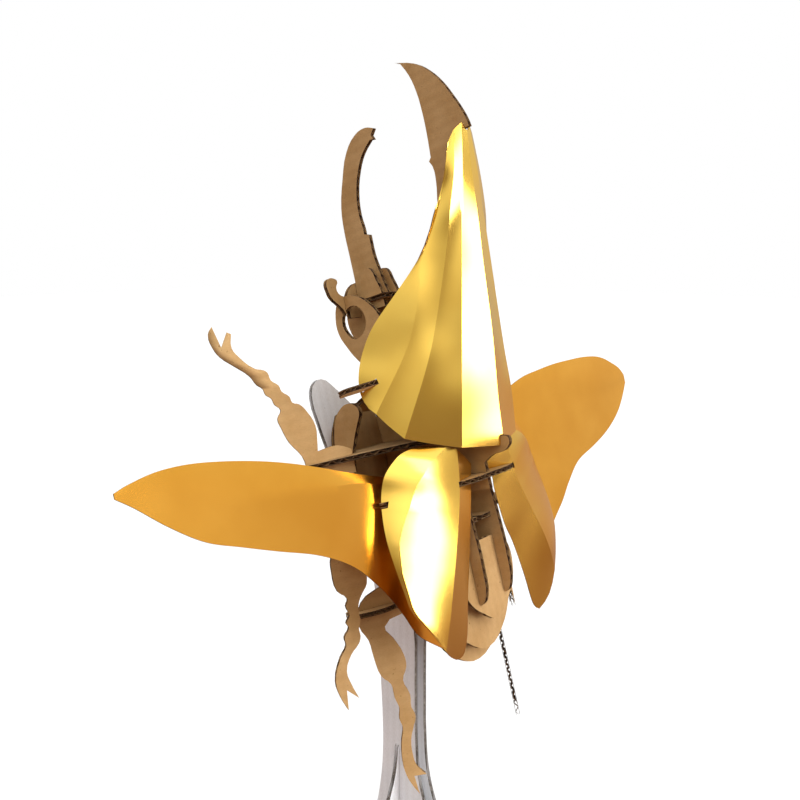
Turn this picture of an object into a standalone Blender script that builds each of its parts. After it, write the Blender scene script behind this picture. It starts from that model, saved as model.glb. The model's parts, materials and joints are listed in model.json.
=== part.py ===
"""Slot-together cardboard rhinoceros beetle on its white stand.

Lengths are in millimetres and are scaled to metres where meshes are made.
The beetle leans back, so its boards are drawn in a body frame:
x to the right, v from the back to the belly, l from the tail to the head,
with zero at the rear end of the ridge on the gold shell.
"""

import math

import bmesh
import bpy
from mathutils import Matrix, Vector

MM = 0.001

# Driving dimensions
BOARD = 3.0  # corrugated board
CARD = 0.6  # gold card
PLAY = 0.3  # clearance on each side of a slot
LEAN = math.radians(16.5)  # how far the body leans back from upright
RIDGE_HEIGHT = 352.0  # rear end of the ridge above the floor
RIDGE_BACK = -73.0  # its y, which puts the foot's middle at y = 0
APEX = 34.3  # v where the leg planes of the two sides meet
LEG_ANGLES = {"fore": 32.0, "mid": 28.0, "hind": 38.9}
RIGHT_MIDLEG_SAG = 3.0  # degrees that it hangs lower in its slot than the left one
EYE_X = 14.0
CHEEK_X = 8.0
RIB_X = 14.0
SIDE_X = 50.0
ARM_X = 5.0
FIN_Y = 82.0
CRADLE_V = 115.0
PLATE_V = {1: 35.0, 2: 47.0, 3: 58.0}
FLOOR_V = 102.5
BULKHEAD_L = {"fore": 12.5, "mid": -45.0, "hind": -86.0}
BRACKET_L = -17.0
COLLAR = (40.7, 54.7, math.radians(16.0))  # v, l and tilt of the board with the pegs
SLIT = (76.5, 132.6, math.radians(67.0))  # the slit in the head board, the same way
ANTENNA_V = 95.5

KRAFT = ("kraft_board", (0.51, 0.33, 0.14, 1.0), 0.85, 0.0)
GOLD = ("gold_card", (0.80, 0.50, 0.12, 1.0), 0.32, 0.85)
WHITE = ("white_board", (0.72, 0.74, 0.76, 1.0), 0.7, 0.0)


def clear_scene():
    for obj in list(bpy.data.objects):
        bpy.data.objects.remove(obj)
    beetle = bpy.data.collections.new("cardboard_beetle")
    cutters = bpy.data.collections.new("cutters")
    cutters.hide_render = True
    for collection in (beetle, cutters):
        bpy.context.scene.collection.children.link(collection)
    return beetle, cutters


BEETLE, CUTTERS = clear_scene()

# Body frame: the three axes as columns, and its zero point
RIGHT = Vector((1, 0, 0))
BELLY = Vector((0, math.cos(LEAN), -math.sin(LEAN)))
HEAD = Vector((0, math.sin(LEAN), math.cos(LEAN)))
ZERO = Vector((0, RIDGE_BACK, RIDGE_HEIGHT))


def body(x, v, l):
    """A point of the body frame in world millimetres."""
    return ZERO + RIGHT * x + BELLY * v + HEAD * l


def frame(origin, a, b):
    """The plane at origin whose drawing axes are a and b."""
    a, b = a.normalized(), b.normalized()
    n = a.cross(b)
    turn = Matrix((a, b, n)).transposed().to_4x4()
    return Matrix.Translation(origin * MM) @ turn


def sagittal(x):
    """Drawing axes v and l."""
    return frame(body(x, 0, 0), BELLY, HEAD)


def frontal(v):
    """Drawing axes x and l."""
    return frame(body(0, v, 0), RIGHT, HEAD)


def transverse(l):
    """Drawing axes x and v."""
    return frame(body(0, 0, l), RIGHT, BELLY)


def tilted(v, l, angle):
    """Drawing axes x and t, where t runs to the belly and, with the tilt, to the tail."""
    return frame(body(0, v, l), RIGHT, BELLY * math.cos(angle) - HEAD * math.sin(angle))


def leg_out(kind, side):
    """The direction in which a leg's board runs outwards."""
    sag = RIGHT_MIDLEG_SAG if kind == "mid" and side > 0 else 0.0
    angle = math.radians(LEG_ANGLES[kind] + sag)
    return RIGHT * (side * math.cos(angle)) + BELLY * math.sin(angle)


def leg_plane(kind, side):
    """Drawing axes w, outwards from the apex, and l."""
    return frame(body(0, APEX, 0), leg_out(kind, side), HEAD)


def material(spec):
    name, colour, roughness, metallic = spec
    if name in bpy.data.materials:
        return bpy.data.materials[name]
    made = bpy.data.materials.new(name)
    made.use_nodes = True
    shader = made.node_tree.nodes["Principled BSDF"]
    shader.inputs["Base Color"].default_value = colour
    shader.inputs["Roughness"].default_value = roughness
    shader.inputs["Metallic"].default_value = metallic
    return made


def add_object(name, mesh, matrix, spec):
    obj = bpy.data.objects.new(name, mesh)
    obj.matrix_world = matrix
    if spec:
        mesh.materials.clear()
        mesh.materials.append(material(spec))
    (BEETLE if spec else CUTTERS).objects.link(obj)
    if not spec:
        obj.display_type = "WIRE"
    return obj


def corner(*points):
    """Points that stay sharp."""
    return [(a, b, True) for a, b in points]


def mirrored(points):
    """A closed outline from its right half, drawn from the top of the middle line down."""
    left = [(-p[0], *p[1:]) for p in reversed(points) if abs(p[0]) > 1e-6]
    return points + left


def board(name, outline, plane, spec=KRAFT, holes=(), thickness=BOARD, steps=3):
    """A flat board with a smooth outline: points (a, b), sharp ones (a, b, True)."""
    curve = bpy.data.curves.new(name, "CURVE")
    curve.dimensions = "2D"
    curve.fill_mode = "BOTH"
    curve.extrude = thickness / 2 * MM
    curve.resolution_u = steps
    for points in (outline, *holes):
        spline = curve.splines.new("BEZIER")
        spline.use_cyclic_u = True
        spline.bezier_points.add(len(points) - 1)
        for knot, point in zip(spline.bezier_points, points):
            knot.co = (point[0] * MM, point[1] * MM, 0)
            kind = "VECTOR" if len(point) > 2 else "AUTO"
            knot.handle_left_type = knot.handle_right_type = kind
    drawn = bpy.data.objects.new(name + "_outline", curve)
    bpy.context.scene.collection.objects.link(drawn)
    bpy.context.view_layer.update()
    graph = bpy.context.evaluated_depsgraph_get()
    mesh = bpy.data.meshes.new_from_object(drawn.evaluated_get(graph))
    mesh.name = name
    bpy.data.objects.remove(drawn)
    shape = bmesh.new()
    shape.from_mesh(mesh)
    bmesh.ops.remove_doubles(shape, verts=shape.verts, dist=1e-6)
    bmesh.ops.recalc_face_normals(shape, faces=shape.faces)
    shape.to_mesh(mesh)
    shape.free()
    return add_object(name, mesh, plane, spec)


def cut(obj, cutter):
    modifier = obj.modifiers.new("cut_" + cutter.name[:40], "BOOLEAN")
    modifier.operation = "DIFFERENCE"
    modifier.solver = "EXACT"
    modifier.object = cutter


def box(name, plane, low, high):
    """A cutter between two corners given in a plane's own millimetres."""
    mesh = bpy.data.meshes.new(name)
    shape = bmesh.new()
    bmesh.ops.create_cube(shape, size=1)
    size = [h - l for l, h in zip(low, high)]
    middle = [(h + l) / 2 for l, h in zip(low, high)]
    for vertex in shape.verts:
        vertex.co = Vector([(c * s + m) * MM for c, s, m in zip(vertex.co, size, middle)])
    shape.to_mesh(mesh)
    shape.free()
    return add_object(name, mesh, plane, None)


def lap(upper, lower, origin, along, upper_normal, middle, reach=60.0):
    """Halve two crossing boards along the line where they meet.

    along points from the middle to the stretch where the upper board is slotted;
    the lower board is slotted the other way, and the two slots meet in the middle.
    """
    half = BOARD / 2 + PLAY
    line = frame(origin + along * middle, along, upper_normal)
    gap = PLAY / 2
    first = box(f"slot_in_{upper.name}_{lower.name}", line, (-gap, -9, -half), (reach, 9, half))
    second = box(f"slot_in_{lower.name}_{upper.name}", line, (-reach, -half, -9), (gap, half, 9))
    cut(upper, first)
    cut(lower, second)


def cutter_board(name, outline, plane):
    """A slot that a tab passes through: the tab's outline, a little wider than the board."""
    return board(name, corner(*outline), plane, None, (), BOARD + 2 * PLAY)


def spread(points, stations):
    """Points of a polyline at fractions of its length."""
    points = [Vector(p) for p in points]
    lengths = [0.0]
    for first, second in zip(points, points[1:]):
        lengths.append(lengths[-1] + (second - first).length)
    found = []
    for fraction in stations:
        target = fraction * lengths[-1]
        k = next((k for k in range(1, len(points)) if lengths[k] >= target - 1e-9), len(points) - 1)
        share = (target - lengths[k - 1]) / (lengths[k] - lengths[k - 1])
        found.append(points[k - 1].lerp(points[k], share))
    return found


def card(name, columns, inward, spec=GOLD):
    """A folded card: a grid of body points, thickened towards inward, one row per column."""
    shape = bmesh.new()
    grid = [[shape.verts.new(body(*p) * MM) for p in column] for column in columns]
    faces = []
    for one, two in zip(grid, grid[1:]):
        for a, b, c, d in zip(one, one[1:], two[1:], two):
            faces.append(shape.faces.new((a, b, c)))
            faces.append(shape.faces.new((a, c, d)))
    bmesh.ops.remove_doubles(shape, verts=shape.verts, dist=1e-5)
    bmesh.ops.dissolve_degenerate(shape, edges=shape.edges, dist=1e-6)
    bmesh.ops.recalc_face_normals(shape, faces=shape.faces)
    shape.normal_update()
    towards = (body(*inward) - body(0, 0, 0)).normalized()
    if sum(face.normal.dot(towards) * face.calc_area() for face in shape.faces) > 0:
        bmesh.ops.reverse_faces(shape, faces=shape.faces)
        shape.normal_update()
    top = list(shape.verts)
    below = {v: shape.verts.new(v.co - v.normal * CARD * MM) for v in top}
    rim = [edge for edge in shape.edges if edge.is_boundary]
    for face in list(shape.faces):
        shape.faces.new([below[v] for v in reversed(face.verts)])
    for edge in rim:
        loop = edge.link_loops[0]
        a, b = loop.vert, loop.link_loop_next.vert
        shape.faces.new((b, a, below[a]))
        shape.faces.new((b, below[a], below[b]))
    bmesh.ops.recalc_face_normals(shape, faces=shape.faces)
    mesh = bpy.data.meshes.new(name)
    shape.to_mesh(mesh)
    shape.free()
    return add_object(name, mesh, Matrix.Identity(4), spec)


def yz(v, l):
    """Body v and l as y and z from the zero point."""
    offset = BELLY * v + HEAD * l
    return offset.y, offset.z


# Boards on the middle plane


def make_spine():
    outline = corner((18, 252)) + [(3, 245), (-6, 237), (-14, 226), (-19, 216), (-23, 207)]
    outline += [(-26, 198)] + corner((-26.8, 193.5), (-21.6, 193.5))
    outline += [(-19, 168), (-16, 138), (-13, 114), (-8.5, 71), (-2.4, 31)]
    outline += corner((0.4, 6.6), (-1, 6.2)) + [(-5.4, 5.2), (-6.4, 3), (-5, -0.6), (0, -3.6)]
    outline += [(8, -5)] + corner((16, -9), (16, -26), (69, -30), (69, -95), (100, -95))
    outline += corner((100, 14.6), (106, 14.6), (106, 33), (49, 33), (49, 96)) + [(37, 114), (24, 122), (14, 136), (8, 160)]
    outline += [(6, 170), (6, 180)] + corner((8, 184), (6, 186))
    outline += [(5, 202), (5, 216), (6, 228), (9, 240)] + corner((14, 250))
    return board("spine_horn", outline, sagittal(0))


def make_head():
    outline = corner((47, 221)) + [(54, 224), (64, 223), (75, 215), (84, 199), (91, 181)]
    outline += [(93, 165), (93, 147)] + corner((93, 130), (93.6, 124), (98.5, 124))
    outline += [(105, 118), (108, 109), (108.5, 99), (104, 87), (96, 72), (88, 56)] + corner((84, 38), (54, 38))
    outline += [(52, 62), (54, 92), (62, 108), (66, 118), (69, 131)]
    outline += [(71, 142)] + corner((71, 156), (75, 157.5)) + [(75, 162), (76, 171), (74, 186)]
    outline += [(68, 200), (61, 209)] + corner((52, 215), (49, 214.4), (50.5, 217.5))
    return board("head_horn", outline, sagittal(0))


# Head


def make_eye_ring(side, name):
    outline = [(106, 106), (100, 117), (91, 119), (82, 116.5), (72, 109), (65, 99), (62, 84)]
    outline += corner((63, 62)) + [(76, 58)] + [(88, 69), (94, 75), (101, 85), (106, 95)]
    hole = [(100, 103), (95, 109), (86, 111), (79.5, 106), (78, 98), (82, 91.5), (91, 88.5), (98, 94)]
    return board(name, outline, sagittal(side * EYE_X), holes=[hole])


def make_antennae():
    half = [(0, 128.4), (5, 126.6), (9, 123.4), (11.4, 120)] + corner((12.6, 118.6))
    half += [(19, 121.4), (20, 126), (17.8, 130), (21, 132.2), (26.6, 131.6), (28.8, 128.4)]
    half += [(28.4, 124), (26.8, 119), (20.4, 113), (17, 109)] + corner((15.6, 104))
    return board("antennae", mirrored(half), frontal(ANTENNA_V))


def make_cheek(side, name):
    outline = [(77, 131.6), (72.5, 133), (69, 131), (66.6, 124), (64, 116)] + corner((63, 105))
    outline += corner((84, 105)) + [(84, 113), (81, 124)]
    return board(name, outline, sagittal(side * CHEEK_X))


def make_neck_plate():
    return board("neck_plate", corner((-11.5, 60), (11.5, 60), (11.5, 88), (-11.5, 88)), transverse(112))


# Thorax and its bulkheads


def arm(kind, w, offset):
    """x and v of a point on a leg's line, w from the apex and offset to the belly."""
    angle = math.radians(LEG_ANGLES[kind])
    return (
        w * math.cos(angle) - offset * math.sin(angle),
        APEX + w * math.sin(angle) + offset * math.cos(angle),
    )


def arm_end(kind, w, inner_low, inner_high):
    """The tapered end of a bulkhead's arm, from its back edge round to its belly edge."""
    points = [arm(kind, inner_low, -9)] + corner(arm(kind, w - 3, -8))
    points += [arm(kind, w, -4), arm(kind, w, 4)] + corner(arm(kind, w - 3, 8))
    return points + [arm(kind, inner_high, 10)]


def make_bulkhead(kind):
    if kind == "fore":
        half = corner((0, 6)) + [(22, 13), (33, 25), (44, 45)] + arm_end(kind, 101, 68, 78)
        half += [(58, 90)] + corner((56, 100.2), (36, 100.2), (32, 106), (13, 112.8))
    elif kind == "mid":
        half = corner((0, 31)) + [(17, 31.5), (31, 39), (42, 49)] + arm_end(kind, 94, 62, 74)
        half += [(58, 88)] + corner((56, 99)) + [(34, 106)] + corner((13, 112.8))
    else:
        half = corner((46, 70)) + arm_end(kind, 95, 72, 76)
        half += [(40, 96), (22, 106)] + corner((13, 112.8))
    return board(f"bulkhead_{kind}", mirrored(half), transverse(BULKHEAD_L[kind]))


def make_floor():
    """The plate under the thorax, with a window for the front bulkhead."""
    half = corner((0, 46)) + [(20, 45.5)] + corner((38, 40)) + [(46, 24), (46, -18)] + corner((38, -40))
    window = corner((-38, 10.6), (38, 10.6), (38, 14.4), (-38, 14.4))
    return board("thorax_floor", mirrored(half), frontal(FLOOR_V), holes=[window])


def make_collar():
    half = corner((0, -45)) + [(12, -43), (24, -37), (35, -25), (44, -13), (50, -6)]
    half += corner((54, -3), (77, 4.6)) + [(80.4, 7.2), (80.2, 11)] + corner((77.6, 13), (55, 5))
    half += [(49, 8), (45, 20), (41, 38), (28, 51)] + corner((10, 54))
    return board("collar_board", mirrored(half), tilted(*COLLAR))


def make_thorax_side(side, name):
    outline = [(74.5, 46), (68, 43), (66.5, 39.5), (70, 33), (75, 25), (80, 15), (83, 4), (83, -24)]
    outline += corner((80, -53), (96, -53)) + [(99, -20), (98, 4), (94.6, 24.5), (89.6, 37.3), (82.5, 44)]
    return board(name, outline, sagittal(side * SIDE_X))


# Abdomen


def make_rib(side, name):
    outline = corner((29, -9)) + [(27, -28), (25.5, -50), (25, -75), (27, -92), (32, -98), (38, -97)]
    outline += [(48, -101), (58, -104)] + corner((67, -104), (67, -9))
    return board(name, outline, sagittal(side * RIB_X))


def make_abdomen_plate(number):
    top, width, waist, end = {
        1: (-59, 28, -84, -111),
        2: (-62, 37, -94, -131),
        3: (-65, 42, -100, -140),
    }[number]
    half = corner((width - 6, top)) + [(width, top - 12), (width, waist)]
    half += [(width * 0.82, waist - 0.42 * (waist - end)), (width * 0.45, end + 6.5), (0, end)]
    return board(f"abdomen_plate_{number}", mirrored(half), frontal(PLATE_V[number]))


# Legs


def make_leg(kind, side, name):
    if kind == "fore":
        outline = corner((139, 109)) + [(142, 105), (141, 96), (138, 90), (131, 83), (123, 75)]
        outline += [(120, 69), (117, 66), (116, 62), (113, 59), (112, 55), (109, 51), (112, 46)]
        outline += [(111, 40), (108, 30), (102, 20), (100, 10)] + corner((94, 2), (71, 3), (71, 18))
        outline += [(79, 22)] + corner((92, 21)) + [(91, 27), (90, 37), (93, 46), (97, 52)]
        outline += [(101, 54), (102, 58), (106, 62), (107, 66), (111, 70), (112, 75), (114, 77)]
        outline += [(119, 79), (127, 88), (130, 94)] + corner((128.5, 102.5), (131, 104))
        outline += corner((136, 95.5))
    elif kind == "mid":
        outline = corner((64, -35), (90, -35)) + [(99, -43), (101, -53), (100, -65), (95, -71)]
        outline += [(97, -75), (96, -81), (99, -85), (98, -88), (102, -93), (102, -98), (107, -104)]
        outline += [(113, -117), (112, -127)] + corner((109, -136), (107.5, -124), (101, -131))
        outline += [(104, -121), (105, -113), (100, -104), (94, -99), (92, -95), (92, -90)]
        outline += [(90, -86), (90, -81), (89, -76), (86, -71), (81, -65)] + corner((80, -55), (64, -55))
    else:
        outline = corner((57, -69)) + [(71, -73), (85, -80), (89, -94), (85, -104), (84, -116)]
        outline += [(82, -128), (77, -134.5), (76.5, -144), (75, -151), (76.5, -158), (75.5, -163)]
        outline += [(78, -171), (80, -181), (80, -192), (77.5, -200)] + corner((74, -207))
        outline += corner((75, -195), (67, -196)) + [(72, -189), (73, -182), (72, -172), (68, -163)]
        outline += [(66, -158), (67.5, -152), (66.5, -144), (69, -134), (65, -126), (65, -118)]
        outline += [(69, -107), (73, -98)] + corner((57, -92))
    return board(name, outline, leg_plane(kind, side))


# Gold card


def make_cover():
    """The shell: half of it in five columns from the ridge to the rim, then mirrored."""
    ridge = [(0, -24, 192.6), (0, -21, 168), (0, -18, 138), (0, -15, 114), (0, -10.5, 71)]
    ridge += [(0, -4.4, 31), (0, -1.6, 7), (0, 0, 0)]
    crease_a = [(3.9, -23.7, 196.5), (7.8, -19.9, 168), (10.6, -16.4, 151), (14.8, -11, 118.5)]
    crease_a += [(22.3, -1.5, 62.7), (26.8, 3.1, 33.3), (29.6, 8.8, 5)]
    crease_b = [(9.3, -20.8, 192.7), (13.3, -17.8, 169.3), (18.2, -12.6, 147.3), (21, -6.5, 126.6)]
    crease_b += [(30, 6, 85), (39, 14, 58), (55, 30, 18)]
    crease_c = [(13.1, -18.3, 186.8), (15.9, -15, 171), (17.5, -9.3, 159), (22, -2, 144), (29.5, 6.5, 124)]
    crease_c += [(35, 11, 103), (39, 15, 88), (46, 23, 68), (63, 41, 36)]
    rim = [(14.7, -17.2, 182.7), (16.8, -13.8, 171), (17.8, -8.3, 159.5), (23, -3.5, 146), (26, 0.5, 136)]
    rim += [(29.6, 5.4, 126.5), (35.6, 14, 115.5), (43, 24, 104), (53, 38, 88), (59, 46, 73), (63, 49, 60)]
    rim += [(64.3, 49, 49), (64, 45, 40)]
    stations = [0, 0.02, 0.04] + [k / 14 for k in range(1, 15)]
    half = [spread(column, stations) for column in (crease_a, crease_b, crease_c, rim)]
    left = [[(-p.x, p.y, p.z) for p in column] for column in reversed(half)]
    return card("pronotum_cover", left + [spread(ridge, stations)] + half, (0, 1, 0))


ELYTRON_LINES = {
    "left": (
        [(6.4, 22.9, -8.1), (14.6, 22.8, -29.9), (21.3, 25, -53.8), (34.4, 26, -87.9),
         (41.1, 27, -108.1), (47.6, 27.5, -117.5), (54.6, 27.5, -117.8)],
        [(26.3, 15.5, 4.4), (29.3, 16.3, -14.3), (35, 16.8, -31.6), (45.5, 17, -54.3),
         (52.5, 17.3, -68.9), (58, 17.8, -80.4), (63.1, 18.6, -91.8), (69.7, 20.3, -106.6)],
        [(44.7, 25.9, 11.1), (57, 28.5, 10.8), (64.4, 30.9, 8.2), (72.7, 35.1, 0.2), (76.2, 37.8, -9.6),
         (79, 38, -20.5), (82.2, 36, -35), (84.4, 32, -50.5), (85.6, 27.6, -67), (85.4, 25, -78),
         (78.5, 22, -90.8), (69.7, 20.3, -106.6)],
    ),
    "right": (
        [(7.1, 22.5, -8), (13.2, 23.5, -19.8), (13.9, 24.3, -29.7), (19.5, 26.5, -53.3), (26.3, 28, -68.7),
         (33.5, 30, -92), (40.1, 33, -113.1), (44.3, 34, -119.6), (47.9, 34, -122)],
        [(23.5, 13.4, 4.4), (24.9, 14.2, -5.7), (27.1, 15.1, -15.5), (29.7, 16, -25.3), (40.5, 17.6, -47.9),
         (49.8, 18.5, -67.7), (58, 21.5, -83.5), (66.9, 27.3, -99.8)],
        [(44.7, 25.9, 11.1), (57, 28.5, 10.8), (64.4, 30.9, 8.2), (72.7, 35.1, 0.2), (76.2, 37.8, -9.6),
         (78.8, 38, -20.9), (81.7, 36.3, -35.8), (83.3, 33.1, -53.1), (81.7, 30.6, -69.6),
         (75.6, 29.1, -86.4), (66.9, 27.3, -99.8)],
    ),
}
# along the elytron: where the shoulder lies between ridge and outer edge, and how far it stands proud
SHOULDER = (
    (0, 0.5, 4.5), (0.2, 0.65, 8), (0.35, 0.77, 8), (0.5, 0.92, 5.2), (0.62, 0.97, 3), (0.8, 0.97, 1.4), (1, 0.97, 0)
)


def shoulder_at(along):
    for one, two in zip(SHOULDER, SHOULDER[1:]):
        if along <= two[0]:
            t = (along - one[0]) / (two[0] - one[0])
            return one[1] + (two[1] - one[1]) * t, one[2] + (two[2] - one[2]) * t
    return SHOULDER[-1][1:]


def make_elytron(side, name):
    """Folded along its ridge and at its shoulder. The left one is lifted a little more at its tail."""
    stations = [k / 13 for k in range(14)]
    lines = ELYTRON_LINES["left" if side < 0 else "right"]
    medial, ridge, outer = (spread(column, stations) for column in lines)
    shoulder = []
    for along, one, two in zip(stations, ridge, outer):
        share, proud = shoulder_at(along)
        shoulder.append(one.lerp(two, share) - Vector((0, proud, 0)))
    columns = [[(side * p.x, p.y, p.z) for p in column] for column in (medial, ridge, shoulder, outer)]
    return card(name, columns, (0, 1, 0))


def make_wing(side, name):
    """A nearly flat sheet that leans a little to the back at its tip: the left one low, the right one raised."""
    if side < 0:
        front = [(48, 44.1, -5.7), (61.8, 43.2, -2.8), (76.7, 42.2, 1.2), (88.1, 41.5, 4.8), (102, 40.6, 9.4), (118.9, 39.5, 15.2)]
        front += [(138.1, 38.2, 21.2), (158.3, 36.9, 26.4), (179.7, 35.5, 30.6), (200.2, 34.2, 33.3), (217.8, 33, 33.4), (232.9, 32, 30.9)]
        front += [(241, 31.5, 28.5)]
        rear = [(44.1, 44.4, -116.5), (65.4, 43, -99.7), (75.2, 42.3, -83.2), (86.8, 41.6, -65.8), (101.4, 40.6, -49.5), (115.3, 39.7, -39.1)]
        rear += [(133.9, 38.5, -29.7), (157.1, 37, -21.2), (180, 35.5, -12.4), (199.9, 34.2, -4.4), (217.5, 33, 7.4), (232.4, 32.1, 19.8)]
        rear += [(241, 31.5, 26)]
    else:
        front = [(43.9, 44.4, -1.8), (57.3, 43.5, 18.1), (73.8, 42.4, 30.1), (97.6, 40.9, 38), (120.1, 39.4, 41), (142.8, 37.9, 43)]
        front += [(164.2, 36.5, 43.5), (182.4, 35.3, 43.5), (200.7, 34.1, 42), (213.7, 33.3, 38.9), (224.7, 32.6, 33.8), (235, 31.8, 27.8)]
        front += [(240.8, 31.4, 20.9)]
        rear = [(60.7, 43.3, -115.9), (80, 42, -99.3), (87.7, 41.5, -84.7), (98.8, 40.8, -73), (115.8, 39.7, -60.5), (128.9, 38.8, -48.7)]
        rear += [(146.8, 37.7, -36.2), (170.2, 36.1, -29.5), (188, 35, -24.1), (204.1, 33.9, -17.3), (219, 32.9, -8.5), (231, 32.1, 2.3)]
        rear += [(241, 31.5, 13.9)]
    columns = [[(side * p[0], p[1], p[2]) for p in column] for column in (front, rear)]
    return card(name, columns, (0, 1, 0))


def make_bracket():
    """The bar that threads the elytra, with a lug for each wing."""
    half = corner((0, 12.5)) + [(14, 12)] + corner((25, 14.5)) + [(48, 26), (60, 30.5)]
    half += corner((77, 36.5)) + [(78.5, 38.5)] + corner((77, 40.8), (59, 36.4), (57.4, 36.4))
    half += corner((57.4, 52)) + [(54, 54)] + corner((50.6, 52), (50.6, 34.4), (38, 31))
    half += [(24, 36), (20, 46)] + corner((20, 60))
    return board("elytra_bracket", mirrored(half), transverse(BRACKET_L))


# White stand


def make_stand_board(side, name):
    outline = corner(yz(105, 36), yz(105, -40)) + [yz(104.6, -116), (65.9, -183), (64.7, -240), (61, -266)]
    outline += [(53, -288), (42, -308), (27, -327), (7, -340)] + corner((-12, -345), (-12, -352))
    outline += corner((158, -352), (158, -345)) + [(137, -340), (117, -327), (105, -305), (99.5, -280)]
    outline += [(97, -255), (96.9, -228), (98.5, -197), (103, -132), yz(135, -86), yz(130, -50)]
    outline += [yz(128, 30), yz(124, 40), yz(110, 40)]
    plane = frame(ZERO + RIGHT * side * ARM_X, Vector((0, 1, 0)), Vector((0, 0, 1)))
    return board(name, outline, plane, WHITE)


def make_stand_fin():
    half = corner((0, -241)) + [(6.9, -241.5), (8.4, -250), (11, -265), (17.4, -282), (27, -304)]
    half += [(42, -324), (60, -338)] + corner((78, -345), (82, -352))
    plane = frame(ZERO + Vector((0, FIN_Y, 0)), RIGHT, Vector((0, 0, 1)))
    return board("stand_fin", mirrored(half), plane, WHITE)


def make_cradle():
    half = [(0, 39), (6, 41), (12, 47), (22, 58), (34.5, 67), (43, 63), (46, 54), (44.5, 38)]
    half += corner((41, 17))
    return board("stand_cradle", mirrored(half), frontal(CRADLE_V), WHITE)


def build():
    spine, head = make_spine(), make_head()
    antennae, neck = make_antennae(), make_neck_plate()
    collar, bracket = make_collar(), make_bracket()
    bulkheads = {kind: make_bulkhead(kind) for kind in BULKHEAD_L}
    plates = {number: make_abdomen_plate(number) for number in PLATE_V}
    cover = make_cover()
    fin, cradle = make_stand_fin(), make_cradle()
    right = RIGHT

    # Middle plane
    for kind, middle in (("fore", 40.0), ("mid", 84.0), ("hind", 84.0)):
        lap(spine, bulkheads[kind], body(0, 0, BULKHEAD_L[kind]), BELLY, right, middle, 85)
    lap(bracket, spine, body(0, 0, BRACKET_L), BELLY, HEAD, 38)
    v, l, tilt = COLLAR
    down = BELLY * math.cos(tilt) - HEAD * math.sin(tilt)
    lap(spine, collar, body(0, v, l), down, right, -20, 45)
    lap(collar, head, body(0, v, l), down, right.cross(down), 29)
    lap(head, antennae, body(0, ANTENNA_V, 0), HEAD, right, 116, 40)
    lap(neck, head, body(0, 0, 112), BELLY, HEAD, 76)
    lap(make_floor(), spine, body(0, FLOOR_V, 0), HEAD, BELLY, 24)
    slit = tilted(*SLIT)
    cut(head, box("slit_head_horn", slit, (-9, 0, -1.5), (9, 21, 1.5)))

    for side, word in ((-1, "left"), (1, "right")):
        ring, cheek = make_eye_ring(side, f"eye_ring_{word}"), make_cheek(side, f"cheek_{word}")
        lap(ring, antennae, body(side * EYE_X, ANTENNA_V, 0), HEAD, right, 112, 30)
        lap(neck, cheek, body(side * CHEEK_X, 0, 112), BELLY, HEAD, 74)

        rib = make_rib(side, f"rib_{word}")
        lap(bracket, rib, body(side * RIB_X, 0, BRACKET_L), BELLY, HEAD, 44)
        lap(rib, bulkheads["mid"], body(side * RIB_X, 0, BULKHEAD_L["mid"]), BELLY, right, 48)
        for number, plate in plates.items():
            middle = {1: -79, 2: -82, 3: -84}[number]
            lap(plate, rib, body(side * RIB_X, PLATE_V[number], 0), HEAD, BELLY, middle, 50)

        wall = make_thorax_side(side, f"thorax_side_{word}")
        for kind in ("fore", "mid"):
            origin = body(side * SIDE_X, 0, BULKHEAD_L[kind])
            lap(bulkheads[kind], wall, origin, BELLY, HEAD, 90, 30)

        stand = make_stand_board(side, f"stand_board_{word}")
        for kind, bulkhead in bulkheads.items():
            origin = body(side * ARM_X, 0, BULKHEAD_L[kind])
            lap(bulkhead, stand, origin, BELLY, HEAD, 109, 20)
        lap(stand, cradle, body(side * ARM_X, CRADLE_V, 0), HEAD, right, 29, 30)
        corner_of_fin = ZERO + RIGHT * side * ARM_X + Vector((0, FIN_Y, 0))
        lap(fin, stand, corner_of_fin, Vector((0, 0, 1)), Vector((0, 1, 0)), -290, 75)

        for kind, middle in (("fore", 86.0), ("mid", 80.0), ("hind", 77.0)):
            leg = make_leg(kind, side, f"{kind}leg_{word}")
            origin = body(0, APEX, BULKHEAD_L[kind])
            lap(bulkheads[kind], leg, origin, leg_out(kind, side), HEAD, middle, 40)

        peg = [(side * 52, -4.1), (side * 68, 1.2), (side * 68, 10.2), (side * 52, 4.4)]
        cut(cover, cutter_board(f"slot_cover_{word}", peg, tilted(*COLLAR)))
        elytron = make_elytron(side, f"elytron_{word}")
        bar = [(0, 10), (side * 25.2, 13.6), (side * 48, 25.4), (side * 60, 30), (side * 90, 39.4)]
        bar += [(side * 90, 46), (side * 38, 33), (side * 22, 24), (0, 24)]
        cut(elytron, cutter_board(f"slot_elytron_{word}", bar, transverse(BRACKET_L)))
        wing = make_wing(side, f"wing_{word}")
        lug = [(side * 50.2, 32), (side * 57.8, 32), (side * 57.8, 60), (side * 50.2, 60)]
        cut(wing, cutter_board(f"slot_wing_{word}", lug, transverse(BRACKET_L)))

    cut(cover, box("slot_cover_hook", sagittal(0), (-12, -6, -1.8), (6, 7, 1.8)))
    cut(cover, box("slot_cover_horn", sagittal(0), (-30, 192.4, -1.8), (-15, 200, 1.8)))


build()
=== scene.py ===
"""Looks of the slot-together cardboard beetle: fluted boards with scorched cuts, gold card, white stand."""

import json
import math

import bpy
from mathutils import Matrix, Vector

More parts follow.
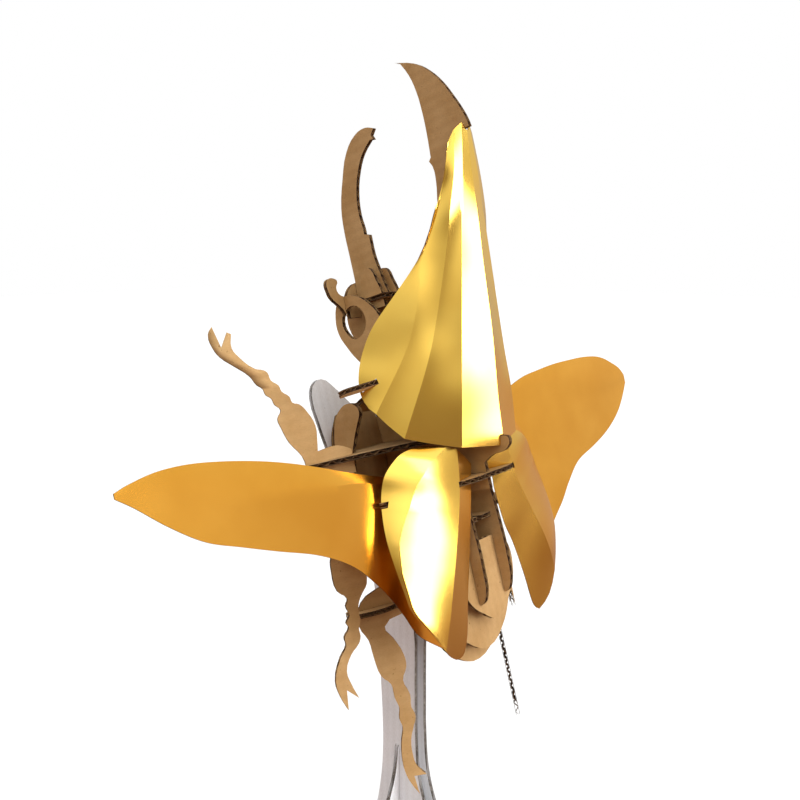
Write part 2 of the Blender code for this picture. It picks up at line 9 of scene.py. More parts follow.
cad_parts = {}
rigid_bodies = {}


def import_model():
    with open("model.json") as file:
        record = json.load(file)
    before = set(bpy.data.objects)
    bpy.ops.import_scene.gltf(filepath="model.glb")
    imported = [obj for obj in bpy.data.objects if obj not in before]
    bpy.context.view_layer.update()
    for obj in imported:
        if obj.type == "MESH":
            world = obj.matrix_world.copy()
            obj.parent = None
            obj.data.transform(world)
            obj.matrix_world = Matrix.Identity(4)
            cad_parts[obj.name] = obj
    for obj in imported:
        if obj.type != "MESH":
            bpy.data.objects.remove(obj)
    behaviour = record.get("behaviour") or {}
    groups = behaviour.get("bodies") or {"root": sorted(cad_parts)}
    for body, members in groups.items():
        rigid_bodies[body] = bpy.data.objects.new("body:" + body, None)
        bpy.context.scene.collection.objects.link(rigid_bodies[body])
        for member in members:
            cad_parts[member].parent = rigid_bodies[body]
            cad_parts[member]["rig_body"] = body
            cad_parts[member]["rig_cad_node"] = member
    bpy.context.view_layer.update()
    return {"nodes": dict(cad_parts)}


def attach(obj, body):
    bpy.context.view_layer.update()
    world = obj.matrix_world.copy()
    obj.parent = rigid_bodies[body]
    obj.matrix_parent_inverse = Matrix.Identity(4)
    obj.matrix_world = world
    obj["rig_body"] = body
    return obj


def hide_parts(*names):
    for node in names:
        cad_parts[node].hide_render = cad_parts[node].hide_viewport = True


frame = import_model()
bpy.ops.object.select_all(action="DESELECT")

MM = 0.001

# The beetle's own axes: to its right, from its back to its belly, from its tail to its head
LEAN = math.radians(16.5)
RIGHT = Vector((1, 0, 0))
BELLY = Vector((0, math.cos(LEAN), -math.sin(LEAN)))
HEAD = Vector((0, math.sin(LEAN), math.cos(LEAN)))
UP = Vector((0, 0, 1))
RIDGE_END = Vector((0, -73, 352)) * MM  # rear end of the ridge on the gold shell

BOARD = 3.0 * MM
LINER = 0.32 * MM  # outer papers of the board
MEDIUM = 0.24 * MM  # wavy paper between them
FLUTE = 6.3 * MM  # from crest to crest
CUTS_PER_FLUTE = 6  # how finely the wave is modelled
CARD = 0.6 * MM
SLOT_PLAY = 0.3 * MM  # on each side of a board in the card's slots

WAVE_TURN = 20  # radians that the wave texture's phase gains for each metre at scale 1
SAME_NORMAL = 0.999  # cosine above which two faces point the same way
COPLANAR = 0.0005  # angle below which neighbouring faces of a board are joined
MERGE = 1e-6  # distance below which a board's vertices are merged
MERGE_CARD = 2e-5  # the same for the card, whose columns meet in points
CREASE_ANGLE = math.radians(11)  # folds in the card that are sharper than this stay sharp


def body(x, v, l):
    """A point of the beetle's own axes, given in millimetres."""
    return RIDGE_END + (RIGHT * x + BELLY * v + HEAD * l) * MM


# Materials


def ink(code):
    """An sRGB hex colour as linear RGBA."""
    channels = [int(code[k : k + 2], 16) / 255 for k in (0, 2, 4)]
    return [c / 12.92 if c <= 0.04045 else ((c + 0.055) / 1.055) ** 2.4 for c in channels] + [1]


def node(tree, kind, settings=None, values=None, **links):
    """Add a node, set its properties and sockets, and link sockets named with underscores."""
    made = tree.nodes.new(kind)
    for key, value in (settings or {}).items():
        setattr(made, key, value)
    for key, value in (values or {}).items():
        made.inputs[key].default_value = value
    for key, source in links.items():
        tree.links.new(source, made.inputs[int(key[1:]) if key[1:].isdigit() else key.replace("_", " ")])
    return made


def ramp(tree, source, stops):
    made = node(tree, "ShaderNodeValToRGB", Fac=source)
    elements = made.color_ramp.elements
    while len(elements) < len(stops):
        elements.new(0.5)
    for element, (place, colour) in zip(elements, stops):
        element.position = place
        element.color = colour
    return made.outputs["Color"]


def new_material(name, **values):
    made = bpy.data.materials.new(name)
    made.use_nodes = True
    shader = made.node_tree.nodes["Principled BSDF"]
    for key, value in values.items():
        shader.inputs[key.replace("_", " ")].default_value = value
    return made, made.node_tree, shader


def noise(tree, where, scale, detail, roughness=0.5):
    return node(tree, "ShaderNodeTexNoise",
                values={"Scale": scale, "Detail": detail, "Roughness": roughness}, Vector=where)


def multiply(tree, share, under, over):
    made = node(tree, "ShaderNodeMix", {"data_type": "RGBA", "blend_type": "MULTIPLY"}, {0: share},
                _6=under, _7=over)
    return made.outputs[2]


def bump(tree, shader, height, distance, strength=1.0, under=None):
    made = node(tree, "ShaderNodeBump", values={"Strength": strength, "Distance": distance}, Height=height)
    if under is not None:
        tree.links.new(under, made.inputs["Normal"])
    tree.links.new(made.outputs["Normal"], shader.inputs["Normal"])
    return made.outputs["Normal"]


def linerboard(name, light, dark, fleck, mottle):
    """Uncoated linerboard, pressed from wood fibre: matt, mottled, with flecks and short fibres.

    The flutes inside ripple the liner: a bump of that wave, and faint stripes of painted shade along it.
    """
    made, tree, shader = new_material(name, Roughness=0.86)
    where = node(tree, "ShaderNodeTexCoord").outputs
    cloud = noise(tree, where["Object"], 38.0, 5.0, 0.6)
    along = node(tree, "ShaderNodeMapping", values={"Scale": (900.0, 260.0, 1.0)}, Vector=where["UV"])
    fibre = noise(tree, along.outputs[0], 1.6, 4.0, 0.7)
    specks = noise(tree, where["Object"], 620.0, 2.0)
    base = ramp(tree, cloud.outputs[0], [(0.5 - mottle, ink(dark)), (0.5 + mottle, ink(light))])
    stripes = node(tree, "ShaderNodeTexWave", {"wave_profile": "SIN"},
                   {"Scale": 2 * math.pi / (WAVE_TURN * FLUTE), "Distortion": 0.0}, Vector=where["UV"])
    fine = ramp(tree, fibre.outputs[0], [(0.3, (0.80, 0.79, 0.77, 1)), (0.62, (1, 1, 1, 1))])
    both = multiply(tree, 0.55, base, fine)
    flecks = ramp(tree, specks.outputs[0], [(0.70, (0, 0, 0, 1)), (0.76, (1, 1, 1, 1))])
    marked = node(tree, "ShaderNodeMix", {"data_type": "RGBA"}, {7: ink(fleck)}, _0=flecks, _6=both)
    # painted shade: the colour is darkened by up to 4.5 percent along the flutes' wave, standing in for the
    # shade of the liner's ripple
    flute_shade = ramp(tree, stripes.outputs[0], [(0.0, (0.955, 0.95, 0.945, 1)), (1.0, (1, 1, 1, 1))])
    flute_shaded = multiply(tree, 1.0, marked.outputs[2], flute_shade)
    tree.links.new(flute_shaded, shader.inputs["Base Color"])
    ripple = bump(tree, shader, stripes.outputs[0], distance=0.05 * MM)
    bump(tree, shader, fibre.outputs[0], distance=0.04 * MM, strength=0.7, under=ripple)
    return made


def scorched(name, dark, light):
    """A laser-cut edge: charred paper, uneven where the beam paused."""
    made, tree, shader = new_material(name, Roughness=0.9)
    where = node(tree, "ShaderNodeTexCoord").outputs
    uneven = noise(tree, where["Object"], 420.0, 4.0, 0.7)
    colour = ramp(tree, uneven.outputs[0], [(0.40, ink(dark)), (0.66, ink(light))])
    tree.links.new(colour, shader.inputs["Base Color"])
    bump(tree, shader, uneven.outputs[0], distance=0.08 * MM, strength=0.6)
    return made


def gold_card(name, face, deep, gloss):
    """Card laminated with gold film and brushed to a satin: a clear but soft reflection."""
    made, tree, shader = new_material(name, Metallic=1.0, Roughness=gloss)
    where = node(tree, "ShaderNodeTexCoord").outputs
    cloud = noise(tree, where["Object"], 22.0, 3.0)
    colour = ramp(tree, cloud.outputs[0], [(0.35, ink(deep)), (0.65, ink(face))])
    tree.links.new(colour, shader.inputs["Base Color"])
    grain = noise(tree, where["Object"], 1500.0, 2.0)
    rough = node(tree, "ShaderNodeMapRange", values={"To Min": gloss - 0.03, "To Max": gloss + 0.04},
                 Value=grain.outputs[0])
    tree.links.new(rough.outputs[0], shader.inputs["Roughness"])
    bump(tree, shader, grain.outputs[0], distance=0.004 * MM, strength=0.4)
    return made


KRAFT = linerboard("kraft_linerboard", "BC9866", "AA8450", "7C5A2A", 0.16)
KRAFT_INSIDE = scorched("kraft_fluting", "3E2915", "7C5A32")
KRAFT_CUT = scorched("scorched_kraft_cut", "1C120B", "4A3018")
WHITE = linerboard("white_linerboard", "F0F2F5", "E6E9ED", "C6CACF", 0.18)
WHITE_INSIDE = scorched("white_board_fluting", "6E6862", "A9A49D")
WHITE_CUT = scorched("scorched_white_cut", "2A2724", "5C5650")
SHELL_GOLD = gold_card("gold_film_card_shell", "EAC35C", "E2B852", 0.20)
WING_GOLD = gold_card("gold_film_card_wing", "EAAE48", "E2A43E", 0.20)
CARD_CUT = scorched("card_cut_edge", "4C3520", "8A6A44")


# Boards


def only(obj):
    bpy.ops.object.select_all(action="DESELECT")
    obj.select_set(True)
    bpy.context.view_layer.objects.active = obj


def twin(obj, name):
    """A copy with its own mesh."""
    only(obj)
    bpy.ops.object.duplicate()
    made = bpy.context.view_layer.objects.active
    made.name = made.data.name = name
    return made


def shift(obj, move):
    obj.data.transform(Matrix.Translation(move))


def thicken(obj, thickness, offset):
    only(obj)
    made = obj.modifiers.new("thickness", "SOLIDIFY")
    made.thickness = thickness
    made.offset = offset
    bpy.ops.object.modifier_apply(modifier=made.name)


def broad_normal(mesh):
    """The normal of a board's faces: the one with the most area."""
    areas = {}
    for face in mesh.polygons:
        key = tuple(round(c, 2) for c in face.normal)
        areas[key] = areas.get(key, 0) + face.area
    best = Vector(max(areas, key=areas.get)).normalized()
    close = [face for face in mesh.polygons if face.normal.dot(best) > SAME_NORMAL]
    total = Vector()
    for face in close:
        total += face.normal * face.area
    return total.normalized()


def face_of_board(name):
    """One face of a board's solid, as a flat piece, and its normal."""
    source = frame["nodes"][name]
    made = twin(source, name + "_face")
    made.parent = None
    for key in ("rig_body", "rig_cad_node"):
        if key in made:
            del made[key]
    made.data.materials.clear()
    bpy.ops.object.mode_set(mode="EDIT")
    bpy.ops.mesh.select_all(action="SELECT")
    bpy.ops.mesh.remove_doubles(threshold=MERGE)
    bpy.ops.mesh.select_all(action="DESELECT")
    bpy.ops.object.mode_set(mode="OBJECT")
    normal = broad_normal(made.data)
    bpy.context.tool_settings.mesh_select_mode = (False, False, True)
    for face in made.data.polygons:
        face.select = face.normal.dot(normal) < SAME_NORMAL
    bpy.ops.object.mode_set(mode="EDIT")
    bpy.ops.mesh.delete(type="FACE")
    bpy.ops.mesh.select_all(action="SELECT")
    bpy.ops.mesh.dissolve_limited(angle_limit=COPLANAR)
    bpy.ops.object.mode_set(mode="OBJECT")
    return made, normal


def corrugated(name, grain, papers):
    """A board of two liners and the wavy medium between them, cut to the outline of its solid."""
    liner, inside, cut = papers
    front, normal = face_of_board(name)
    grain = (grain - normal * grain.dot(normal)).normalized()
    across = normal.cross(grain)
    medium = twin(front, name + "_medium")
    shift(medium, -normal * BOARD / 2)
    places = [p.co.dot(across) for p in medium.data.vertices]
    step = FLUTE / CUTS_PER_FLUTE
    bpy.ops.object.mode_set(mode="EDIT")
    for k in range(math.ceil(min(places) / step), math.floor(max(places) / step) + 1):
        bpy.ops.mesh.select_all(action="SELECT")
        bpy.ops.mesh.bisect(plane_co=across * k * step, plane_no=across)
    bpy.ops.mesh.select_all(action="DESELECT")
    bpy.ops.object.mode_set(mode="OBJECT")
    height = (BOARD - 2 * LINER - MEDIUM) / 2
    for p in medium.data.vertices:
        p.co += normal * height * math.sin(2 * math.pi * p.co.dot(across) / FLUTE)
    thicken(medium, MEDIUM, 0)
    thicken(front, LINER, -1)
    back = twin(front, name + "_back")
    shift(back, -normal * (BOARD - LINER))
    for piece in (front, back):
        piece.data.materials.append(liner)
        piece.data.materials.append(cut)
        for face in piece.data.polygons:
            face.material_index = int(abs(face.normal.dot(normal)) < 0.5)
    medium.data.materials.append(inside)
    only(front)
    back.select_set(True)
    medium.select_set(True)
    bpy.ops.object.join()
    board = bpy.context.view_layer.objects.active
    board.name = board.data.name = name + "_fluted"
    layers = board.data.uv_layers
    layer = layers[0] if layers else layers.new(name="along_flutes")
    for loop, uv in zip(board.data.loops, layer.data):
        place = board.data.vertices[loop.vertex_index].co
        uv.uv = (place.dot(across), place.dot(grain))
    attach(board, "root")
    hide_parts(name)
    return board


KRAFT_PAPERS = (KRAFT, KRAFT_INSIDE, KRAFT_CUT)
WHITE_PAPERS = (WHITE, WHITE_INSIDE, WHITE_CUT)
ALONG_BODY = ("antennae", "thorax_floor", "abdomen_plate_1", "abdomen_plate_2", "abdomen_plate_3")
ACROSS_BODY = ("spine_horn", "head_horn", "eye_ring_left", "eye_ring_right", "cheek_left", "cheek_right",
               "neck_plate", "collar_board", "elytra_bracket", "bulkhead_fore", "bulkhead_mid",
               "bulkhead_hind", "thorax_side_left", "thorax_side_right", "rib_left", "rib_right")
for name in ALONG_BODY:
    corrugated(name, HEAD, KRAFT_PAPERS)
for name in ACROSS_BODY:
    corrugated(name, BELLY, KRAFT_PAPERS)
for pair in ("foreleg", "midleg", "hindleg"):
    for side, word in ((-1, "left"), (1, "right")):
        outwards = RIGHT * side + BELLY * 0.6
        corrugated(f"{pair}_{word}", outwards, KRAFT_PAPERS)
for name in ("stand_board_left", "stand_board_right", "stand_fin"):
    corrugated(name, UP, WHITE_PAPERS)
corrugated("stand_cradle", HEAD, WHITE_PAPERS)


# Gold card


def curve_through(points, count):
    """Points at equal steps along a smooth line through the given ones."""
    points = [Vector(p) for p in points]
    ends = [points[0] * 2 - points[1], *points, points[-1] * 2 - points[-2]]
    fine = []
    for a, b, c, d in zip(ends, ends[1:], ends[2:], ends[3:]):
        for k in range(12):
            t = k / 12
            fine.append(0.5 * (2 * b + (c - a) * t + (2 * a - 5 * b + 4 * c - d) * t * t
                               + (3 * b - 3 * c + d - a) * t * t * t))
    fine.append(points[-1])
    lengths = [0.0]
    for one, two in zip(fine, fine[1:]):
        lengths.append(lengths[-1] + (two - one).length)
    found, k = [], 1
    for n in range(count + 1):
        target = lengths[-1] * n / count
        while k < len(lengths) - 1 and lengths[k] < target:
            k += 1
        share = (target - lengths[k - 1]) / max(lengths[k] - lengths[k - 1], 1e-9)
        found.append(fine[k - 1].lerp(fine[k], min(share, 1.0)))
    return found


def folded_card(name, columns, finish):
    """A sheet through columns of body points, laid as a grid and given the card's thickness."""
    rows, width = len(columns[0]) - 1, len(columns) - 1
    bpy.ops.mesh.primitive_grid_add(x_subdivisions=width, y_subdivisions=rows, size=1)
    sheet = bpy.context.view_layer.objects.active
    sheet.name = sheet.data.name = name
    assert len(sheet.data.vertices) == (rows + 1) * (width + 1)
    for k, vertex in enumerate(sheet.data.vertices):
        row, column = divmod(k, width + 1)
        vertex.co = body(*columns[column][row])
    sheet.matrix_world = Matrix.Identity(4)
    sheet.data.update()
    facing = sum((face.normal.dot(BELLY) * face.area for face in sheet.data.polygons), 0.0)
    bpy.ops.object.mode_set(mode="EDIT")
    bpy.ops.mesh.select_all(action="SELECT")
    if facing > 0:
        bpy.ops.mesh.flip_normals()
    bpy.ops.mesh.remove_doubles(threshold=MERGE_CARD)
    bpy.ops.object.mode_set(mode="OBJECT")
    before = len(sheet.data.polygons)
    thicken(sheet, CARD, -1)
    sheet.data.materials.clear()
    sheet.data.materials.append(finish)
    sheet.data.materials.append(CARD_CUT)
    for face in sheet.data.polygons:
        face.material_index = int(face.index >= 2 * before)  # the rim comes after both faces
    return sheet


def slot_through(sheet, outline, origin, a, b):
    """Cut a slot for a board's tab, a little wider than the board."""
    a, b = a.normalized(), b.normalized()
    depth = a.cross(b) * (BOARD / 2 + SLOT_PLAY)
    points = [origin + (a * x + b * y) * MM for x, y in outline]
    count = len(points)
    mesh = bpy.data.meshes.new("cutter")
    sides = [(k, (k + 1) % count, count + (k + 1) % count, count + k) for k in range(count)]
    mesh.from_pydata([p - depth for p in points] + [p + depth for p in points], [],
                     [tuple(reversed(range(count))), tuple(range(count, 2 * count)), *sides])
    cutter = bpy.data.objects.new("cutter", mesh)
    bpy.context.scene.collection.objects.link(cutter)
    only(cutter)
    bpy.ops.object.mode_set(mode="EDIT")
    bpy.ops.mesh.select_all(action="SELECT")
    bpy.ops.mesh.normals_make_consistent(inside=False)
    bpy.ops.object.mode_set(mode="OBJECT")
    only(sheet)
    made = sheet.modifiers.new("slot", "BOOLEAN")
    made.solver = "EXACT"
    made.object = cutter
    bpy.ops.object.modifier_apply(modifier=made.name)
    bpy.data.objects.remove(cutter)


def mirrored(columns, side):
    """The same columns for side 1, and their mirror image for side -1."""
    return [[Vector((side * p.x, p.y, p.z)) for p in column] for column in columns]


def finish_card(sheet, node_name):
    only(sheet)
    bpy.ops.object.shade_smooth_by_angle(angle=CREASE_ANGLE)
    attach(sheet, "root")
    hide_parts(node_name)


SAG_GROWS = 0.2  # share of the length


def strip(one, two, pieces, sag, flat=0):
    """Columns between two creases, without the first, sagging in the middle by a share of the width.

    A negative sag makes the strip convex. The first rows stay flat, up to the share of the length given
    by flat, and the sag grows to its full depth over SAG_GROWS of the length after it.
    """
    made = []
    for k in range(1, pieces + 1):
        share = k / pieces
        column = []
        for row, (p, q) in enumerate(zip(one, two)):
            grown = min(max((row / (len(one) - 1) - flat) / SAG_GROWS, 0), 1) if flat else 1
            dip = sag * 4 * share * (1 - share) * grown
            column.append(p.lerp(q, share) + Vector((0, dip * (q - p).length, 0)))
        made.append(column)
    return made


def make_shell():
    """Four facets on each side of the ridge, flat where they lie over the horn."""
    ridge = [(0, -24, 192.6), (0, -21, 168), (0, -18, 138), (0, -15, 114), (0, -10.5, 71)]
    ridge += [(0, -4.4, 31), (0, -1.6, 7), (0, 0, 0)]
    crease_a = [(3.9, -23.7, 196.5), (7.8, -19.9, 168), (10.6, -16.4, 151), (14.8, -11, 118.5)]
    crease_a += [(22.3, -1.5, 62.7), (26.8, 3.1, 33.3), (29.6, 8.8, 5)]
    crease_b = [(9.3, -20.8, 192.7), (13.3, -17.8, 169.3), (18.2, -12.6, 147.3), (21, -6.5, 126.6)]
    crease_b += [(30, 6, 85), (39, 14, 58), (55, 30, 18)]
    crease_c = [(13.1, -18.3, 186.8), (15.9, -15, 171), (17.5, -9.3, 159), (22, -2, 144), (29.5, 6.5, 124)]
    crease_c += [(35, 11, 103), (39, 15, 88), (46, 23, 68), (63, 41, 36)]
    rim = [(14.7, -17.2, 182.7), (16.8, -13.8, 171), (17.8, -8.3, 159.5), (23, -3.5, 146), (26, 0.5, 136)]
    rim += [(29.6, 5.4, 126.5), (35.6, 14, 115.5), (43, 24, 104), (53, 38, 88), (59, 46, 73), (63, 49, 60)]
    rim += [(64.3, 49, 49), (64, 45, 40)]
    rows, pieces, over_horn = 64, 6, 0.22
    lines = [curve_through(column, rows) for column in (ridge, crease_a, crease_b, crease_c, rim)]
    sags = (0.012, 0.05, 0.035, -0.02)
    half = []
    for one, two, sag in zip(lines, lines[1:], sags):
        half += strip(one, two, pieces, sag, over_horn)
    columns = mirrored(half[::-1], -1) + [lines[0]] + half
    sheet = folded_card("shell_card", columns, SHELL_GOLD)
    # slots for the collar's two pegs, and for the profile board's hook and horn
    tilt = math.radians(16)
    down = BELLY * math.cos(tilt) - HEAD * math.sin(tilt)
    for side in (-1, 1):
        peg = [(side * 52, -4.1), (side * 68, 1.2), (side * 68, 10.2), (side * 52, 4.4)]
        slot_through(sheet, peg, body(0, 40.7, 54.7), RIGHT, down)
    slot_through(sheet, [(-12, -6), (6, -6), (6, 7), (-12, 7)], body(0, 0, 0), BELLY, HEAD)
    slot_through(sheet, [(-30, 192.4), (-15, 192.4), (-15, 200), (-30, 200)], body(0, 0, 0), BELLY, HEAD)
    finish_card(sheet, "pronotum_cover")


ELYTRON_LINES = {
    "left": (
        [(6.4, 22.9, -8.1), (14.6, 22.8, -29.9), (21.3, 25, -53.8), (34.4, 26, -87.9),
         (41.1, 27, -108.1), (47.6, 27.5, -117.5), (54.6, 27.5, -117.8)],
        [(26.3, 15.5, 4.4), (29.3, 16.3, -14.3), (35, 16.8, -31.6), (45.5, 17, -54.3),
         (52.5, 17.3, -68.9), (58, 17.8, -80.4), (63.1, 18.6, -91.8), (69.7, 20.3, -106.6)],
        [(44.7, 25.9, 11.1), (57, 28.5, 10.8), (64.4, 30.9, 8.2), (72.7, 35.1, 0.2), (76.2, 37.8, -9.6),
         (79, 38, -20.5), (82.2, 36, -35), (84.4, 32, -50.5), (85.6, 27.6, -67), (85.4, 25, -78),
         (78.5, 22, -90.8), (69.7, 20.3, -106.6)],
    ),
    "right": (
        [(7.1, 22.5, -8), (13.2, 23.5, -19.8), (13.9, 24.3, -29.7), (19.5, 26.5, -53.3), (26.3, 28, -68.7),
         (33.5, 30, -92), (40.1, 33, -113.1), (44.3, 34, -119.6), (47.9, 34, -122)],
        [(23.5, 13.4, 4.4), (24.9, 14.2, -5.7), (27.1, 15.1, -15.5), (29.7, 16, -25.3), (40.5, 17.6, -47.9),
         (49.8, 18.5, -67.7), (58, 21.5, -83.5), (66.9, 27.3, -99.8)],
        [(44.7, 25.9, 11.1), (57, 28.5, 10.8), (64.4, 30.9, 8.2), (72.7, 35.1, 0.2), (76.2, 37.8, -9.6),
         (78.8, 38, -20.9), (81.7, 36.3, -35.8), (83.3, 33.1, -53.1), (81.7, 30.6, -69.6),
         (75.6, 29.1, -86.4), (66.9, 27.3, -99.8)],
    ),
}
# share of the elytron's length, share of the way from ridge to outer edge, and millimetres it stands proud
SHOULDER = (
    (0, 0.5, 4.5), (0.2, 0.65, 8), (0.35, 0.77, 8), (0.5, 0.92, 5.2), (0.62, 0.97, 3), (0.8, 0.97, 1.4),
    (1, 0.97, 0),
)
# the inner strip's tail is drawn out into a round tip, from TIP_START of its length by TIP_DRAW at most
TIP_START = 0.85
TIP_DRAW = Vector((2.1, 0.2, -3.6))
TIP_ROUND = {"left": 0.2, "right": 1.0}


def shoulder_at(along):
    for one, two in zip(SHOULDER, SHOULDER[1:]):
        if along <= two[0]:
            t = (along - one[0]) / (two[0] - one[0])
            return one[1] + (two[1] - one[1]) * t, one[2] + (two[2] - one[2]) * t
    return SHOULDER[-1][1:]


def make_elytron(side, word):
    """A broad strip towards the middle, a ridge, a convex back and a narrow strip past the shoulder."""
    rows, width = 60, 4
    medial, ridge, outer = (curve_through(column, rows) for column in ELYTRON_LINES[word])
    shoulder = []
    for k, (one, two) in enumerate(zip(ridge, outer)):
        share, proud = shoulder_at(k / rows)
        shoulder.append(one.lerp(two, share) - Vector((0, proud, 0)))
    inner = strip(medial, ridge, width, sag=0.0)
    for k, column in enumerate(inner):
        round_off = math.sin(math.pi * (k + 1) / width) * TIP_ROUND[word]
        for row in range(rows + 1):
            late = max(0, row / rows - TIP_START) / (1 - TIP_START)
            column[row] += TIP_DRAW * late * late * round_off
    back = strip(ridge, shoulder, 8, sag=-0.03)
    edge = strip(shoulder, outer, 5, sag=-0.02)
    columns = [medial] + inner + back + edge
    sheet = folded_card(f"elytron_card_{word}", mirrored(columns, side), SHELL_GOLD)
    bar = [(0, 10), (side * 25.2, 13.6), (side * 48, 25.4), (side * 60, 30), (side * 90, 39.4)]
    bar += [(side * 90, 46), (side * 38, 33), (side * 22, 24), (0, 24)]
    slot_through(sheet, bar, body(0, 0, -17), RIGHT, BELLY)
    finish_card(sheet, f"elytron_{word}")


WING_LINES = {
    "left": (
        [(48, 44.1, -5.7), (61.8, 43.2, -2.8), (76.7, 42.2, 1.2), (88.1, 41.5, 4.8), (102, 40.6, 9.4),
         (118.9, 39.5, 15.2), (138.1, 38.2, 21.2), (158.3, 36.9, 26.4), (179.7, 35.5, 30.6),
         (200.2, 34.2, 33.3), (217.8, 33, 33.4), (232.9, 32, 30.9), (241, 31.5, 28.5)],
        [(44.1, 44.4, -116.5), (65.4, 43, -99.7), (75.2, 42.3, -83.2), (86.8, 41.6, -65.8),
         (101.4, 40.6, -49.5), (115.3, 39.7, -39.1), (133.9, 38.5, -29.7), (157.1, 37, -21.2),
         (180, 35.5, -12.4), (199.9, 34.2, -4.4), (217.5, 33, 7.4), (232.4, 32.1, 19.8),
         (241, 31.5, 26)],
        (0, 0.6, 1.4, 1.8, 1.8, 1.5, 1.1, 0.7, 0.3, 0, 0, 0, 0),
    ),
    "right": (
        [(43.9, 44.4, -1.8), (57.3, 43.5, 18.1), (73.8, 42.4, 30.1), (97.6, 40.9, 38), (120.1, 39.4, 41),
         (142.8, 37.9, 43), (164.2, 36.5, 43.5), (182.4, 35.3, 43.5), (200.7, 34.1, 42),
         (213.7, 33.3, 38.9), (224.7, 32.6, 33.8), (235, 31.8, 27.8), (240.8, 31.4, 20.9)],
        [(60.7, 43.3, -115.9), (80, 42, -99.3), (87.7, 41.5, -84.7), (98.8, 40.8, -73),
         (115.8, 39.7, -60.5), (128.9, 38.8, -48.7), (146.8, 37.7, -36.2), (170.2, 36.1, -29.5),
         (188, 35, -24.1), (204.1, 33.9, -17.3), (219, 32.9, -8.5), (231, 32.1, 2.3), (241, 31.5, 13.9)],
        (0,) * 13,
    ),
}
# how far the fold lies from the front edge to the rear edge, from the root to the tip
FOLD_PLACE = (0.05, 0.05, 0.06, 0.08, 0.14, 0.22, 0.30, 0.40, 0.5, 0.5, 0.5, 0.5, 0.5)


def make_wing(side, word):
    """A nearly flat sheet: the left one has a soft fold that leaves its front edge and fades."""
    front, rear, rises = WING_LINES[word]
    fold = []
    for one, two, share, rise in zip(front, rear, FOLD_PLACE, rises):
        fold.append(Vector(one).lerp(Vector(two), share) - Vector((0, rise, 0)))
    rows = 72
    front, fold, rear = (curve_through(column, rows) for column in (front, fold, rear))
    columns = [front] + strip(front, fold, 6, sag=-0.01) + strip(fold, rear, 10, sag=0.004)
    sheet = folded_card(f"wing_card_{word}", mirrored(columns, side), WING_GOLD)
    lug = [(side * 50.2, 32), (side * 57.8, 32), (side * 57.8, 60), (side * 50.2, 60)]
    slot_through(sheet, lug, body(0, 0, -17), RIGHT, BELLY)
    finish_card(sheet, f"wing_{word}")


make_shell()
for side, word in ((-1, "left"), (1, "right")):
    make_elytron(side, word)
    make_wing(side, word)


# Stage, light and camera

# elevation in degrees, then the room's radiance there in red, green and blue
WALLS = (
    (-20, 0.32, 0.22, 0.17),
    (0, 0.30, 0.23, 0.18),
    (5, 0.36, 0.29, 0.22),
    (10, 0.50, 0.43, 0.34),
    (15, 0.58, 0.54, 0.46),
    (20, 0.76, 0.75, 0.72),
    (28, 1.20, 1.20, 1.20),
    (40, 1.60, 1.60, 1.60),
)
CEILING = 1.6
WALLS_SINE = 0.7  # sine of the elevation, up or down, at which the table's range ends
# azimuth, elevation, half width, half height, strength, blur of the edge
PANELS = (
    (14, 13.5, 9.5, 17, 13.0, 0.13),
    (64, 2, 44, 17, 0.45, 0.5),
    (-38, 33, 26, 17, 0.6, 0.4),
)

# metres to the beetle's right, and the floor's colour there for all but the camera
FLOOR_NEAR = (0.5, (0.20, 0.10, 0.075, 1))
FLOOR_FAR = (1.2, (0.36, 0.22, 0.15, 1))

CAMERA_PLACE = Vector((-408.2, -270.1, 123.9)) * MM  # from the ridge's rear end
CAMERA_AHEAD = Vector((0.740, 0.6445, -0.1926))
CAMERA_RIGHT = Vector((0.6568, -0.7541, 0))


def aim_at(azimuth, elevation):
    """Azimuth 0 faces the beetle's back and 90 its right side, in degrees."""
    turn, rise = math.radians(azimuth), math.radians(elevation)
    return Vector((math.sin(turn) * math.cos(rise), -math.cos(turn) * math.cos(rise), math.sin(rise)))


def panel(tree, towards, azimuth, elevation, width, height, strength, blur):
    """A soft lit panel in the room, with half its width and height in degrees."""
    away = aim_at(azimuth, elevation)
    across = UP.cross(away).normalized()
    turned = Matrix((across, away.cross(across), away)).transposed().to_euler()
    size = (math.sin(math.radians(width)), math.sin(math.radians(height)), 1)
    seen = node(tree, "ShaderNodeMapping", {"vector_type": "TEXTURE"},
                {"Location": away, "Rotation": turned, "Scale": size}, Vector=towards)
    reach = node(tree, "ShaderNodeVectorMath", {"operation": "LENGTH"}, _0=seen.outputs[0])
    lit = node(tree, "ShaderNodeMapRange", {"interpolation_type": "SMOOTHSTEP"},
               {"From Min": 1 + blur, "From Max": 1 - blur, "To Min": 0, "To Max": strength},
               Value=reach.outputs["Value"])
    return lit.outputs[0]


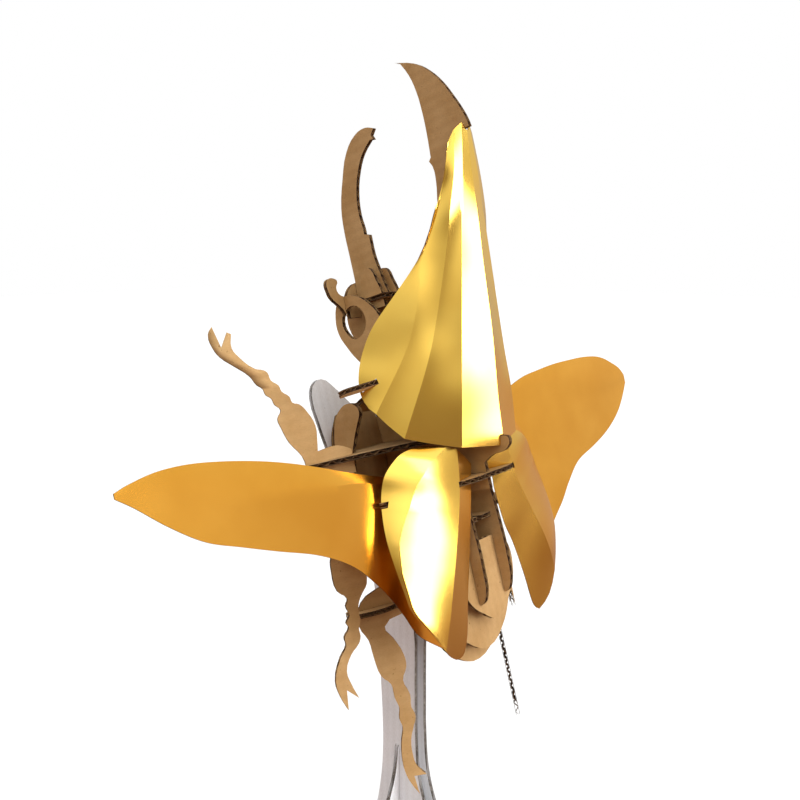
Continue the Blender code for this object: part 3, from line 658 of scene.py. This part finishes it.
def make_room():
    """A white room lit from its ceiling: warm and dim near the floor, bright above, with a window."""
    world = bpy.context.scene.world or bpy.data.worlds.new("studio")
    bpy.context.scene.world = world
    world.use_nodes = True
    tree = world.node_tree
    backdrop = tree.nodes["Background"]
    backdrop.inputs["Color"].default_value = (1, 1, 1, 1)
    towards = node(tree, "ShaderNodeTexCoord").outputs["Generated"]
    height = node(tree, "ShaderNodeSeparateXYZ", Vector=towards).outputs["Z"]
    span = {"From Min": -WALLS_SINE, "From Max": WALLS_SINE}
    half = node(tree, "ShaderNodeMapRange", values=span, Value=height)
    stops = []
    for degrees, red, green, blue in WALLS:
        place = math.sin(math.radians(degrees)) / (2 * WALLS_SINE) + 0.5
        stops.append((place, (red / CEILING, green / CEILING, blue / CEILING, 1)))
    walls = ramp(tree, half.outputs[0], stops)
    wall_light = node(tree, "ShaderNodeBackground", values={"Strength": CEILING}, Color=walls)
    glow = panel(tree, towards, *PANELS[0])
    for values in PANELS[1:]:
        lit = panel(tree, towards, *values)
        glow = node(tree, "ShaderNodeMath", {"operation": "ADD"}, _0=glow, _1=lit).outputs[0]
    panels = node(tree, "ShaderNodeBackground", values={"Color": (1, 1, 1, 1)}, Strength=glow)
    room = node(tree, "ShaderNodeAddShader", _0=wall_light.outputs[0], _1=panels.outputs[0])
    ray = node(tree, "ShaderNodeLightPath").outputs["Is Camera Ray"]
    mixed = node(tree, "ShaderNodeMixShader", _0=ray, _1=room.outputs[0], _2=backdrop.outputs[0])
    tree.links.new(mixed.outputs[0], tree.nodes["World Output"].inputs["Surface"])


def make_floor():
    """A pale floor that throws little light back up, least beside the beetle, so undersides stay dark."""
    bpy.ops.mesh.primitive_plane_add(size=14, location=(0, 0, 0))
    floor = bpy.context.view_layer.objects.active
    floor.name = "floor"
    paper, tree, shader = new_material("floor_paper", Roughness=0.9)
    where = node(tree, "ShaderNodeTexCoord").outputs["Object"]
    aside = node(tree, "ShaderNodeSeparateXYZ", Vector=where).outputs["X"]
    span = {"From Min": FLOOR_NEAR[0], "From Max": FLOOR_FAR[0]}
    far = node(tree, "ShaderNodeMapRange", values=span, Value=aside)
    tone = ramp(tree, far.outputs[0], [(0, FLOOR_NEAR[1]), (1, FLOOR_FAR[1])])
    tree.links.new(tone, shader.inputs["Base Color"])
    pale = node(tree, "ShaderNodeBsdfDiffuse", values={"Color": ink("F8F8F8")})
    glow = node(tree, "ShaderNodeEmission", values={"Color": (1, 1, 1, 1), "Strength": 1.0})
    seen = node(tree, "ShaderNodeMixShader", values={0: 0.75}, _1=pale.outputs[0], _2=glow.outputs[0])
    ray = node(tree, "ShaderNodeLightPath").outputs["Is Camera Ray"]
    both = node(tree, "ShaderNodeMixShader", _0=ray, _1=shader.outputs[0], _2=seen.outputs[0])
    tree.links.new(both.outputs[0], tree.nodes["Material Output"].inputs["Surface"])
    floor.data.materials.append(paper)


def sun(azimuth, elevation, strength, spread):
    data = bpy.data.lights.new("sun", "SUN")
    data.energy = strength
    data.angle = math.radians(spread)
    made = bpy.data.objects.new("sun", data)
    bpy.context.scene.collection.objects.link(made)
    made.rotation_euler = aim_at(azimuth, elevation).to_track_quat("Z", "Y").to_euler()


def make_camera():
    data = bpy.data.cameras.new("camera")
    data.lens = 36
    data.sensor_width = 36
    data.clip_start = 0.01
    made = bpy.data.objects.new("camera", data)
    bpy.context.scene.collection.objects.link(made)
    ahead = CAMERA_AHEAD.normalized()
    right = CAMERA_RIGHT.normalized()
    place = Matrix((right, right.cross(ahead), -ahead)).transposed().to_4x4()
    place.translation = RIDGE_END + CAMERA_PLACE
    made.matrix_world = place
    bpy.context.scene.camera = made


bpy.context.scene.view_settings.view_transform = "Standard"
make_floor()
make_room()
sun(azimuth=-10, elevation=50, strength=0.5, spread=20)
make_camera()
